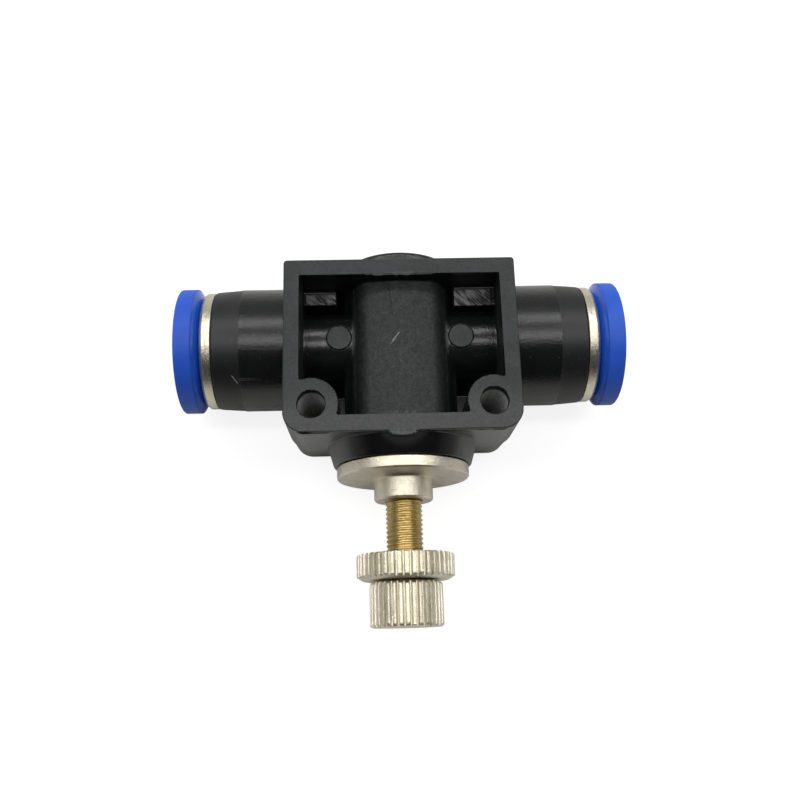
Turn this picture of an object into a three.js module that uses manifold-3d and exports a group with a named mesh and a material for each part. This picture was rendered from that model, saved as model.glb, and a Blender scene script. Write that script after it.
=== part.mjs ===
// In-line push-in flow control valve for 12 mm pneumatic tube, as an assembly of separate pieces.
//
// Frame, millimetres: the two tube fittings lie along X, the needle and its knob point along -Y,
// and +Z runs from the closed front face (z = 0) to the open rear rim, which is the face the valve
// is screwed down on. The origin is on the front face, under the point where the tube axis and
// the needle axis cross. The valve is drawn with the needle fully open and the lock nut backed
// off against the knob.
import * as THREE from "three";
import { mergeVertices } from "three/addons/utils/BufferGeometryUtils.js";
import Module from "manifold-3d";

const wasm = await Module();
wasm.setup();

// ------------------------------------------------------------------ driving dimensions, mm
const AXIS_Z = 12.0; // height of both axes over the front face
const SEG = 32; // facets of a full circle
const SEG_SEAL = 24; // facets of the rubber rings
const SEG_FINE = 40; // facets on the housing's large outer circles

// housing block
const BLOCK_X = 18.8; // half width
const BLOCK_Y0 = -17.5; // knob side
const BLOCK_Y1 = 11.35; // closed side
const BLOCK_H = 24.0; // front face to rear rim
const PARTING_Z = 12.0; // mould parting line
const FRONT_INSET = 0.15; // the front mould half is this much smaller all round
const REAR_CORNER_R = 3.4;
const FRONT_CORNER_R = 5.0;
const FRONT_EDGE_R = 1.8;
const POCKET_X = 16.2; // open rear pocket, half width
const POCKET_Y0 = -14.7;
const POCKET_Y1 = 8.65;
const POCKET_FLOOR = 3.0;
const SPINE_R = 9.5; // round spine around the needle bore
const CROWN_R = 20; // radius of the spine's flatter top
const CROWN_X = 7.4; // half width of that top
const DUCT_R = 6.0; // round ducts between the spine and the fittings
const SCREW_X = 14.35; // mounting screw holes
const SCREW_Y = -12.97;
const SCREW_R = 2.2;
const SCREW_BOSS_R = 4.3;
const EJECT_X = 10.15; // ejector pin marks on the ducts
const EJECT_R = 2.0;
const PAD_LEFT_Z = 17.0; // tops of the small pads in the pocket
const PAD_RIGHT_Z = 18.2;

// tube fittings, distances s are measured outwards from the needle axis
const BARREL_R = 10.38;
const BARREL_END_R = 9.98;
const BARREL_STEP_S = 26.3;
const BARREL_END_S = 30.74;
const TUBE_R = 6.0; // the tube the valve is made for
const TUBE_STOP_S = 17.4;
const SEAL_S0 = 19.4;
const CARTRIDGE_S0 = 22.9;
const SEAL_BORE_R = 8.1;
const CARTRIDGE_BORE_R = 9.05;
const RING_OUT_R = 9.9;
const RING_END_S = 32.57;
const FLANGE_R = 10.6;
const FLANGE_S0 = 33.87;
const FLANGE_S1 = 36.6;

// needle bore and the turned parts on it
const BOSS_BASE_R = 12.35;
const BOSS_END_R = 11.35;
const BOSS_END_Y = -20.9;
const TOP_BOSS_R = 9.42;
const TOP_BOSS_Y = 13.88;
const BORE_R = 7.8;
const BORE_END_Y = 6.0;
const CHAMBER_R = 5.0;
const CHAMBER_END_Y = 10.9;
const PASSAGE_R = 1.9;
const PASSAGE_Y = 2.6; // the left passage is this far above the tube axis, the right one below
const METAL_FLANGE_R = 10.92;
const METAL_FLANGE_Y0 = -20.98;
const METAL_FLANGE_Y1 = -22.93;
const COLLAR_R = 4.83;
const COLLAR_Y = -26.62;
const THREAD_R = 3.0; // M6 x 0.75
const THREAD_BORE_R = 3.08;
const NUT_R = 7.925;
const NUT_ROOT_R = 7.45;
const NUT_TEETH = 42;
const NUT_Y0 = -35.3;
const NUT_Y1 = -39.35;
const KNOB_R = 5.91;
const KNOB_ROOT_R = 5.5;
const KNOB_TEETH = 34;
const KNOB_Y0 = -39.55;
const KNOB_Y1 = -46.65;

// ------------------------------------------------------------------ geometry helpers
// A closed three.js geometry as a manifold-3d solid.
function solid(geometry) {
  const g = geometry.clone();
  g.deleteAttribute("normal");
  g.deleteAttribute("uv");
  const m = mergeVertices(g, 1e-4);
  const i = m.index.array;
  const tri = [];
  for (let k = 0; k < i.length; k += 3)
    if (i[k] !== i[k + 1] && i[k + 1] !== i[k + 2] && i[k] !== i[k + 2])
      tri.push(i[k], i[k + 1], i[k + 2]);
  const made = new wasm.Manifold(
    new wasm.Mesh({
      numProp: 3,
      vertProperties: new Float32Array(m.attributes.position.array),
      triVerts: new Uint32Array(tri),
    }),
  );
  return made;
}

// A manifold-3d solid as a three.js geometry.
function geometryOf(s) {
  const m = s.getMesh();
  const v = new Float32Array(m.numVert * 3);
  for (let k = 0; k < m.numVert; k++)
    v.set(m.vertProperties.subarray(k * m.numProp, k * m.numProp + 3), k * 3);
  const g = new THREE.BufferGeometry();
  g.setAttribute("position", new THREE.BufferAttribute(v, 3));
  g.setIndex(new THREE.BufferAttribute(new Uint32Array(m.triVerts), 1));
  g.computeVertexNormals();
  return g;
}

// A turned piece about the needle axis: the profile is [radius, y] pairs, anticlockwise.
function turnedY(profile, seg = SEG) {
  const g = new THREE.LatheGeometry(
    [...profile, profile[0]].map(([r, y]) => new THREE.Vector2(r, y)),
    seg,
  );
  g.translate(0, 0, AXIS_Z);
  return g;
}

// A turned piece about the tube axis: the profile is [radius, s] pairs, anticlockwise, and side is
// +1 for the right-hand fitting or -1 for the left-hand one.
function turnedX(profile, side, seg = SEG) {
  const g = new THREE.LatheGeometry(
    [...profile, profile[0]].map(([r, s]) => new THREE.Vector2(r, s)),
    seg,
  );
  g.rotateZ(side > 0 ? -Math.PI / 2 : Math.PI / 2);
  g.translate(0, 0, AXIS_Z);
  return g;
}

const box = (x0, x1, y0, y1, z0, z1) => {
  const g = new THREE.BoxGeometry(x1 - x0, y1 - y0, z1 - z0);
  g.translate((x0 + x1) / 2, (y0 + y1) / 2, (z0 + z1) / 2);
  return solid(g);
};

const postZ = (x, y, r, z0, z1, seg = 24) => {
  const g = new THREE.CylinderGeometry(r, r, z1 - z0, seg);
  g.rotateX(Math.PI / 2);
  g.translate(x, y, (z0 + z1) / 2);
  return solid(g);
};

const rodX = (r, x0, x1, y = 0, seg = SEG) => {
  const g = new THREE.CylinderGeometry(r, r, x1 - x0, seg);
  g.rotateZ(Math.PI / 2);
  g.translate((x0 + x1) / 2, y, AXIS_Z);
  return solid(g);
};

// A rectangle with its own radius at the two knob-side corners and at the two closed-side corners.
function blockShape(x, y0, y1, rKnob, rTop) {
  const s = new THREE.Shape();
  s.moveTo(-x + rKnob, y0);
  s.lineTo(x - rKnob, y0);
  s.absarc(x - rKnob, y0 + rKnob, rKnob, -Math.PI / 2, 0, false);
  s.lineTo(x, y1 - rTop);
  s.absarc(x - rTop, y1 - rTop, rTop, 0, Math.PI / 2, false);
  s.lineTo(-x + rTop, y1);
  s.absarc(-x + rTop, y1 - rTop, rTop, Math.PI / 2, Math.PI, false);
  s.lineTo(-x, y0 + rKnob);
  s.absarc(-x + rKnob, y0 + rKnob, rKnob, Math.PI, 1.5 * Math.PI, false);
  return s;
}

const group = new THREE.Group();
const add = (name, geometry, color, roughness, metalness) => {
  const mesh = new THREE.Mesh(
    geometry,
    new THREE.MeshStandardMaterial({ color, roughness, metalness }),
  );
  mesh.name = name;
  group.add(mesh);
  return mesh;
};

// ------------------------------------------------------------------ moulded housing
const rearHalf = new THREE.ExtrudeGeometry(
  blockShape(BLOCK_X, BLOCK_Y0, BLOCK_Y1, REAR_CORNER_R, 0.6),
  { depth: BLOCK_H - PARTING_Z, bevelEnabled: false, curveSegments: 5 },
);
rearHalf.translate(0, 0, PARTING_Z);

// The front half has a rounded front edge; its far end lies inside the rear half.
const frontHalf = new THREE.ExtrudeGeometry(
  blockShape(
    BLOCK_X - FRONT_INSET,
    BLOCK_Y0 + FRONT_INSET,
    BLOCK_Y1 - FRONT_INSET,
    FRONT_CORNER_R,
    2.2,
  ),
  {
    depth: PARTING_Z + 3 - 2 * FRONT_EDGE_R,
    bevelEnabled: true,
    bevelThickness: FRONT_EDGE_R,
    bevelSize: FRONT_EDGE_R,
    bevelOffset: -FRONT_EDGE_R,
    bevelSegments: 3,
    curveSegments: 5,
  },
);
frontHalf.translate(0, 0, FRONT_EDGE_R);

const barrel = (side) =>
  solid(
    turnedX(
      [
        [0, 15],
        [BARREL_R, 15],
        [BARREL_R, BARREL_STEP_S],
        [BARREL_R - 0.06, BARREL_STEP_S + 0.1],
        [BARREL_END_R, BARREL_END_S],
        [0, BARREL_END_S],
      ],
      side,
      SEG_FINE,
    ),
  );

const socket = (side) =>
  solid(
    turnedX(
      [
        [0, TUBE_STOP_S],
        [TUBE_R + 0.1, TUBE_STOP_S],
        [TUBE_R + 0.1, SEAL_S0],
        [SEAL_BORE_R, SEAL_S0],
        [SEAL_BORE_R, CARTRIDGE_S0],
        [CARTRIDGE_BORE_R, CARTRIDGE_S0],
        [CARTRIDGE_BORE_R, BARREL_END_S + 1],
        [0, BARREL_END_S + 1],
      ],
      side,
    ),
  );

let body = solid(rearHalf).add(solid(frontHalf)).add(barrel(1)).add(barrel(-1));

// The rear pocket, then what stands in it: spine, ducts, screw bosses, pads and ejector marks.
const pocket = box(-POCKET_X, POCKET_X, POCKET_Y0, POCKET_Y1, POCKET_FLOOR, 30);
body = body.subtract(pocket);
const spine = solid(
  turnedY(
    [
      [0, -17],
      [SPINE_R, -17],
      [SPINE_R, 11],
      [0, 11],
    ],
    SEG_FINE,
  ),
).add(box(-SPINE_R, SPINE_R, -17, 11, 2.5, AXIS_Z));
// Flatter crown: the spine's top is cut square at its shoulders.
const crown = solid(
  turnedY(
    [
      [0, -17],
      [CROWN_R, -17],
      [CROWN_R, 11],
      [0, 11],
    ],
    SEG_FINE,
  ).translate(0, 0, SPINE_R - CROWN_R),
).intersect(box(-CROWN_X, CROWN_X, -18, 12, AXIS_Z - 1, 30));
const ducts = rodX(DUCT_R, -17, 17).add(box(-17, 17, -DUCT_R, DUCT_R, 2.5, AXIS_Z));
body = body.add(spine).add(crown).add(ducts);
for (const sx of [-1, 1]) {
  body = body
    .add(postZ(sx * SCREW_X, SCREW_Y, SCREW_BOSS_R, 2.5, BLOCK_H))
    .add(postZ(sx * EJECT_X, 0, EJECT_R, AXIS_Z, AXIS_Z + DUCT_R - 0.05));
}
body = body
  .add(box(-16.6, -10.6, 6.2, 9, 2.5, PAD_LEFT_Z))
  .add(box(9.3, 16.0, 5.2, 9, 2.5, PAD_RIGHT_Z));

// Round boss for the metal housing, flattened where it meets the front and rear planes.
const boss = solid(
  turnedY(
    [
      [0, BOSS_END_Y],
      [BOSS_END_R, BOSS_END_Y],
      [BOSS_BASE_R, BLOCK_Y0 + 0.05],
      [BOSS_BASE_R, -16.5],
      [0, -16.5],
    ],
    SEG_FINE,
  ),
).intersect(box(-20, 20, -30, 0, 0.05, BLOCK_H - 0.05));
// Only its part outside the pocket is kept.
body = body.add(boss.subtract(pocket)).add(
  solid(
    turnedY(
      [
        [0, 10.9],
        [TOP_BOSS_R, 10.9],
        [TOP_BOSS_R, TOP_BOSS_Y - 0.5],
        [TOP_BOSS_R - 0.5, TOP_BOSS_Y],
        [0, TOP_BOSS_Y],
      ],
      SEG_FINE,
    ),
  ),
);

// Bores: needle bore and chamber, tube sockets, the two offset air passages and the screw holes.
const needleBore = solid(
  turnedY([
    [0, -25],
    [BORE_R, -25],
    [BORE_R, BORE_END_Y],
    [CHAMBER_R, BORE_END_Y],
    [CHAMBER_R, CHAMBER_END_Y],
    [0, CHAMBER_END_Y],
  ]),
);
body = body
  .subtract(needleBore)
  .subtract(socket(1))
  .subtract(socket(-1))
  .subtract(rodX(PASSAGE_R, -TUBE_STOP_S - 0.5, -5, PASSAGE_Y, 16))
  .subtract(rodX(PASSAGE_R, 5, TUBE_STOP_S + 0.5, -PASSAGE_Y, 16));
for (const sx of [-1, 1])
  body = body.subtract(postZ(sx * SCREW_X, SCREW_Y, SCREW_R, -1, BLOCK_H + 1, 20));
add("valve_body", geometryOf(body), 0x16181a, 0.5, 0);

// ------------------------------------------------------------------ tube fittings, one per side
for (const [side, tag] of [
  [-1, "left"],
  [1, "right"],
]) {
  // Nickel-plated guide ring: holds the fitting in the housing and guides the release sleeve.
  add(
    "guide_ring_" + tag,
    turnedX(
      [
        [7.9, 25.2],
        [9.0, 25.2],
        [9.0, BARREL_END_S + 0.05],
        [RING_OUT_R, BARREL_END_S + 0.05],
        [RING_OUT_R, RING_END_S - 0.5],
        [RING_OUT_R - 0.28, RING_END_S],
        [RING_OUT_R - 0.38, RING_END_S],
        [8.75, 32.0],
        [8.75, 31.2],
        [7.35, 31.2],
        [7.35, 29.6],
        [7.9, 29.6],
      ],
      side,
    ),
    0xc9c2b0,
    0.3,
    1,
  );

  // Stainless grip ring: a flat rim and twelve sprung claws that slope inwards.
  let grip = solid(
    turnedX(
      [
        [6.05, 23.85],
        [7.7, 24.75],
        [8.95, 24.75],
        [8.95, 25.12],
        [7.7, 25.12],
        [6.05, 24.22],
      ],
      side,
      24,
    ),
  );
  for (let k = 0; k < 12; k++) {
    const a = ((k + 0.5) * Math.PI) / 6;
    const g = new THREE.BoxGeometry(4, 0.55, 3);
    g.translate(5.55, 0, 0);
    g.rotateZ(a);
    g.rotateY(Math.PI / 2);
    g.translate(side * 24.5, 0, AXIS_Z);
    grip = grip.subtract(solid(g));
  }
  add("grip_ring_" + tag, geometryOf(grip), 0xb8bbbd, 0.3, 1);

  // Claw seat: backs the grip ring and holds the tube seal in its bore.
  add(
    "claw_seat_" + tag,
    turnedX(
      [
        [6.3, 22.96],
        [8.95, 22.96],
        [8.95, 24.69],
        [7.95, 24.69],
        [6.3, 23.6],
      ],
      side,
      SEG_SEAL,
    ),
    0xd8d8d2,
    0.5,
    0,
  );

  // Tube seal: rubber ring whose lip presses on the tube.
  add(
    "tube_seal_" + tag,
    turnedX(
      [
        [6.7, 19.5],
        [8.05, 19.5],
        [8.05, 22.84],
        [6.7, 22.84],
        [5.95, 21.7],
        [5.95, 20.9],
      ],
      side,
      SEG_SEAL,
    ),
    0x101010,
    0.8,
    0,
  );

  // Release sleeve: pressing its flange towards the housing opens the claws.
  add(
    "release_sleeve_" + tag,
    turnedX(
      [
        [6.15, 26.0],
        [6.6, 26.0],
        [7.15, 27.2],
        [7.6, 28.3],
        [7.6, 28.9],
        [7.15, 28.9],
        [7.15, 32.1],
        [8.4, 32.1],
        [8.4, 32.64],
        [FLANGE_R, FLANGE_S0],
        [FLANGE_R, FLANGE_S1],
        [6.9, FLANGE_S1],
        [6.15, 35.9],
      ],
      side,
    ),
    0x1c3fd0,
    0.35,
    0,
  );
}

// ------------------------------------------------------------------ needle housing and its seals
// Turned needle housing: flange, threaded collar, bore for the needle seal and four flow windows.
let housing = solid(
  turnedY([
    [THREAD_BORE_R, COLLAR_Y],
    [COLLAR_R - 0.4, COLLAR_Y],
    [COLLAR_R, COLLAR_Y + 0.4],
    [COLLAR_R, -23.9],
    [5.85, -23.15],
    [5.85, METAL_FLANGE_Y1],
    [METAL_FLANGE_R - 0.3, METAL_FLANGE_Y1],
    [METAL_FLANGE_R, METAL_FLANGE_Y1 + 0.3],
    [METAL_FLANGE_R, METAL_FLANGE_Y0],
    [7.72, METAL_FLANGE_Y0],
    [7.72, -11.0],
    [6.2, -11.0],
    [6.2, -8.8],
    [7.72, -8.8],
    [7.72, -5.2],
    [5.6, -5.2],
    [5.6, -1.05],
    [3.95, -1.05],
    [3.95, -16.5],
    [THREAD_BORE_R, -16.5],
  ]),
);
for (const a of [0, Math.PI / 2]) {
  const g = new THREE.CylinderGeometry(1.1, 1.1, 14, 10);
  g.rotateZ(Math.PI / 2);
  g.rotateY(a);
  g.translate(0, -3.1, AXIS_Z);
  housing = housing.subtract(solid(g));
}
add("needle_housing", geometryOf(housing), 0xcdc6b2, 0.3, 1);

// Rubber O-ring between the needle housing and the moulded bore.
const ring = (R, y, r, n) =>
  Array.from({ length: n }, (_, k) => [
    R + r * Math.cos((2 * Math.PI * (k + 0.5)) / n),
    y + r * Math.sin((2 * Math.PI * (k + 0.5)) / n),
  ]);
add("housing_o_ring", turnedY(ring(7.01, -9.9, 0.72, 8), SEG_SEAL), 0x121212, 0.8, 0);

// Seat sleeve: the orifice that the needle closes, pressed into the housing's inner end.
add(
  "seat_sleeve",
  turnedY([
    [2.35, -2.0],
    [3.9, -2.0],
    [3.9, -1.0],
    [5.6, -1.0],
    [5.6, -0.75],
    [4.6, -0.75],
    [4.6, 0.85],
    [6.3, 0.85],
    [6.3, 1.6],
    [2.9, 1.6],
    [2.35, 1.0],
  ], SEG_SEAL),
  0xb08a3c,
  0.35,
  1,
);

// Check seal: a rubber ring whose outer lip lets air pass one way only.
add(
  "check_seal",
  turnedY([
    [4.65, -0.68],
    [5.7, -0.68],
    [7.75, 0.45],
    [7.75, 0.85],
    [6.4, 0.35],
    [5.9, 0.78],
    [4.65, 0.78],
  ], SEG_SEAL),
  0x141414,
  0.8,
  0,
);

// ------------------------------------------------------------------ needle, knob and lock nut
add("needle_o_ring", turnedY(ring(3.26, -13.6, 0.6, 8), SEG_SEAL), 0x121212, 0.8, 0);

// Threaded needle: knob spigot, M6 thread, shoulder that stops it from unscrewing, seal groove,
// shank and metering taper.
add(
  "needle_spindle",
  turnedY([
    [0, -46.5],
    [2.0, -46.5],
    [2.2, -46.3],
    [2.2, -39.5],
    [THREAD_R, -39.5],
    [THREAD_R, -16.45],
    [3.75, -16.45],
    [3.75, -14.6],
    [2.62, -14.6],
    [2.62, -12.6],
    [3.75, -12.6],
    [3.75, -11.2],
    [2.25, -11.2],
    [2.25, -5.7],
    [0.7, -1.2],
    [0, -1.2],
  ], SEG_SEAL),
  0xb08d45,
  0.35,
  1,
);

// A knurled ring: teeth ridges with rounded flanks, chamfered at either end by a turned envelope.
function knurled(teeth, rTip, rRoot, bore, y0, y1, envelope) {
  const shape = new THREE.Shape();
  for (let k = 0; k < teeth * 3; k++) {
    const a = (2 * Math.PI * (Math.floor(k / 3) + [0, 0.36, 0.64][k % 3])) / teeth;
    const r = k % 3 === 0 ? rRoot : rTip;
    const p = [r * Math.cos(a), r * Math.sin(a)];
    if (k === 0) shape.moveTo(...p);
    else shape.lineTo(...p);
  }
  shape.closePath();
  const g = new THREE.ExtrudeGeometry(shape, { depth: y0 - y1, bevelEnabled: false });
  g.rotateX(Math.PI / 2);
  g.translate(0, y0, AXIS_Z);
  return solid(g)
    .intersect(solid(turnedY(envelope)))
    .subtract(
      solid(
        turnedY(
          [
            [0, y1 - 1],
            [bore, y1 - 1],
            [bore, y0 + 1],
            [0, y0 + 1],
          ],
          SEG,
        ),
      ),
    );
}
add(
  "adjusting_knob",
  geometryOf(
    knurled(KNOB_TEETH, KNOB_R, KNOB_ROOT_R, 2.26, KNOB_Y0, KNOB_Y1, [
      [0, KNOB_Y1],
      [KNOB_R - 0.25, KNOB_Y1],
      [KNOB_R + 0.25, KNOB_Y1 + 0.4],
      [KNOB_R + 0.25, KNOB_Y0],
      [0, KNOB_Y0],
    ]),
  ),
  0xcbc4b2,
  0.3,
  1,
);
add(
  "lock_nut",
  geometryOf(
    knurled(NUT_TEETH, NUT_R, NUT_ROOT_R, THREAD_BORE_R, NUT_Y0, NUT_Y1, [
      [0, NUT_Y1],
      [6.6, NUT_Y1],
      [NUT_R + 0.2, NUT_Y1 + 0.75],
      [NUT_R + 0.2, NUT_Y0],
      [0, NUT_Y0],
    ]),
  ),
  0xcbc4b2,
  0.3,
  1,
);

export default group;
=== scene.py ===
# Looks of the in-line push-in flow control valve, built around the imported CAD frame.
# Sizes are written in millimetres and turned into metres when a mesh is made.
import math

import bmesh
import bpy
import numpy as np
from mathutils import Matrix, Vector


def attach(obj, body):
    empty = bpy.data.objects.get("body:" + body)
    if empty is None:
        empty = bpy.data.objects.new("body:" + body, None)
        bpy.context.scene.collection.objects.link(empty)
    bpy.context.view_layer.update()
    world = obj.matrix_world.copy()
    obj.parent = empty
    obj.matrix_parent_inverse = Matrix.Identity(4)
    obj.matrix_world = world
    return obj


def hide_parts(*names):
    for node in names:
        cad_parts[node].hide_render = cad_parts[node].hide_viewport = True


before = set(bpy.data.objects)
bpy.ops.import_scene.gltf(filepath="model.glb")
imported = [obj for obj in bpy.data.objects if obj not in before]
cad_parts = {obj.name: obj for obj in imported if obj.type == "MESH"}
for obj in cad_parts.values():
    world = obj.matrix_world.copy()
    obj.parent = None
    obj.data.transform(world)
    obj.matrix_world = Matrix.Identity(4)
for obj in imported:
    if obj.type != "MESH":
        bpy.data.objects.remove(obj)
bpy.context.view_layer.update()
AZ = 12.0  # height of the tube axis and the needle axis
PI2 = 2 * math.pi

# ------------------------------------------------------------------ camera
scene = bpy.context.scene
cam_data = bpy.data.cameras.new("camera")
cam_data.sensor_width = 36.0
cam_data.lens = 36.0 * 880.2 / 800.0
cam_data.shift_x = -0.0042
cam_data.shift_y = -0.0052
cam_data.clip_start = 0.005
cam_data.clip_end = 20.0
cam = bpy.data.objects.new("camera", cam_data)
scene.collection.objects.link(cam)
right = Vector((0.99928, -0.02848, 0.02507)).normalized()
forward = Vector((0.03194, 0.27484, -0.96096)).normalized()
up = right.cross(forward).normalized()
right = forward.cross(up).normalized()
m = Matrix((right, up, -forward)).transposed().to_4x4()
m.translation = Vector((-0.0043355, -0.049678, 0.1557885))
cam.matrix_world = m
scene.camera = cam


# ------------------------------------------------------------------ mesh helpers
def new_object(name, verts, faces, smooth_angle=32.0):
    """A mesh object from millimetre vertices, with its faces pointing out."""
    me = bpy.data.meshes.new(name)
    me.from_pydata((np.asarray(verts, float) * 0.001).tolist(), [], [list(f) for f in faces])
    me.validate()
    bm = bmesh.new()
    bm.from_mesh(me)
    bmesh.ops.remove_doubles(bm, verts=bm.verts, dist=1e-6)
    bmesh.ops.dissolve_degenerate(bm, edges=bm.edges, dist=1e-7)
    bmesh.ops.recalc_face_normals(bm, faces=bm.faces)
    if bm.calc_volume(signed=True) < 0:
        bmesh.ops.reverse_faces(bm, faces=bm.faces)
    bm.to_mesh(me)
    bm.free()
    me.shade_smooth()
    me.set_sharp_from_angle(angle=math.radians(smooth_angle))
    ob = bpy.data.objects.new(name, me)
    scene.collection.objects.link(ob)
    return ob


def rounded(points, radii, steps=5):
    """A closed [radius, station] polygon with each corner turned into an arc of its own radius."""
    out = []
    n = len(points)
    for i in range(n):
        p, a, b = (np.array(points[j % n], float) for j in (i, i - 1, i + 1))
        r = radii[i] if not np.isscalar(radii) else radii
        if r <= 0:
            out.append(tuple(p))
            continue
        u, v = a - p, b - p
        lu, lv = np.linalg.norm(u), np.linalg.norm(v)
        u, v = u / lu, v / lv
        ang = math.acos(np.clip(u @ v, -1, 1))
        if ang > math.pi - 0.02:
            out.append(tuple(p))
            continue
        cut = min(r / math.tan(ang / 2), 0.48 * lu, 0.48 * lv)
        rr = cut * math.tan(ang / 2)
        c = p + (u + v) / np.linalg.norm(u + v) * (rr / math.sin(ang / 2))
        s, e = p + u * cut - c, p + v * cut - c
        a0 = math.atan2(s[1], s[0])
        turn = (math.atan2(e[1], e[0]) - a0 + math.pi) % PI2 - math.pi
        for k in range(steps + 1):
            t = a0 + turn * k / steps
            out.append((c[0] + rr * math.cos(t), c[1] + rr * math.sin(t)))
    return out


def revolve(name, profile, axis, side=1, seg=128, radius_at=None, smooth_angle=32.0, phase=0.0):
    """Turns a closed (radius, station) profile about the needle axis ("y") or the tube axis ("x").
    radius_at(radius, station, angles) may change the radii around the circle."""
    prof = np.array(profile, float)
    n = len(prof)
    th = PI2 * (np.arange(seg) + phase) / seg
    rad = np.repeat(prof[:, :1], seg, axis=1)
    if radius_at is not None:
        rad = np.stack([radius_at(prof[i, 0], prof[i, 1], th) for i in range(n)])
    st = np.repeat(prof[:, 1:], seg, axis=1)
    c, s = rad * np.cos(th), rad * np.sin(th)
    if axis == "y":
        co = np.stack([c, st, AZ + s], -1)
    else:
        co = np.stack([side * st, c, AZ + s], -1)
    verts = co.reshape(-1, 3)
    faces = []
    j = np.arange(seg)
    jn = (j + 1) % seg
    for i in range(n):
        k = (i + 1) % n
        if prof[i, 0] < 1e-9 and prof[k, 0] < 1e-9:
            continue
        a, b, cc, d = i * seg + j, i * seg + jn, k * seg + jn, k * seg + j
        if prof[i, 0] < 1e-9:
            faces += list(zip(a * 0 + i * seg, cc, d))
        elif prof[k, 0] < 1e-9:
            faces += list(zip(a, b, cc * 0 + k * seg))
        else:
            faces += list(zip(a, b, cc, d))
    return new_object(name, verts, faces, smooth_angle)


def apply_modifiers(ob):
    bpy.context.view_layer.update()
    dg = bpy.context.evaluated_depsgraph_get()
    me = bpy.data.meshes.new_from_object(ob.evaluated_get(dg), depsgraph=dg)
    old = ob.data
    ob.modifiers.clear()
    ob.data = me
    bpy.data.meshes.remove(old)


def place(ob, node, body, material):
    ob.data.materials.clear()
    ob.data.materials.append(material)
    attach(ob, body)
    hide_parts(node)
    return ob


# ------------------------------------------------------------------ distance functions for the moulding
def isect(a, b, r):
    """Intersection with a round edge of radius r."""
    return np.minimum(np.maximum(a, b), -r) + np.hypot(np.maximum(a + r, 0), np.maximum(b + r, 0))


def union(a, b, r):
    """Union with a fillet of radius r."""
    return np.maximum(np.minimum(a, b), r) - np.hypot(np.maximum(r - a, 0), np.maximum(r - b, 0))


def cut(a, b, r):
    """a without b, with a round edge of radius r."""
    return isect(a, -b, r)


def rect(x, y, x0, x1, y0, y1, r=0.0):
    qx = np.abs(x - (x0 + x1) / 2) - ((x1 - x0) / 2 - r)
    qy = np.abs(y - (y0 + y1) / 2) - ((y1 - y0) / 2 - r)
    return np.hypot(np.maximum(qx, 0), np.maximum(qy, 0)) + np.minimum(np.maximum(qx, qy), 0) - r


def plate(x, y, hx, y0, y1, rk, rt):
    """A rectangle whose knob-side corners have radius rk and far corners rt."""
    cy = (y0 + y1) / 2
    r = np.where(y < cy, rk, rt)
    qx = np.abs(x) - (hx - r)
    qy = np.abs(y - cy) - ((y1 - y0) / 2 - r)
    return np.hypot(np.maximum(qx, 0), np.maximum(qy, 0)) + np.minimum(np.maximum(qx, qy), 0) - r


def wobble(t, seed, scale):
    """A smooth repeatable wave of about unit size."""
    rng = np.random.RandomState(seed)
    out = 0.0
    for k in range(5):
        f = scale * (1.0 + 0.9 * k + 0.5 * rng.rand())
        out = out + np.sin(f * t + PI2 * rng.rand()) / (1 + 0.6 * k)
    return out / 2.2


GROOVES = [(-10.15, 0.0), (10.15, 0.0)]  # ejector pin marks


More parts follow.
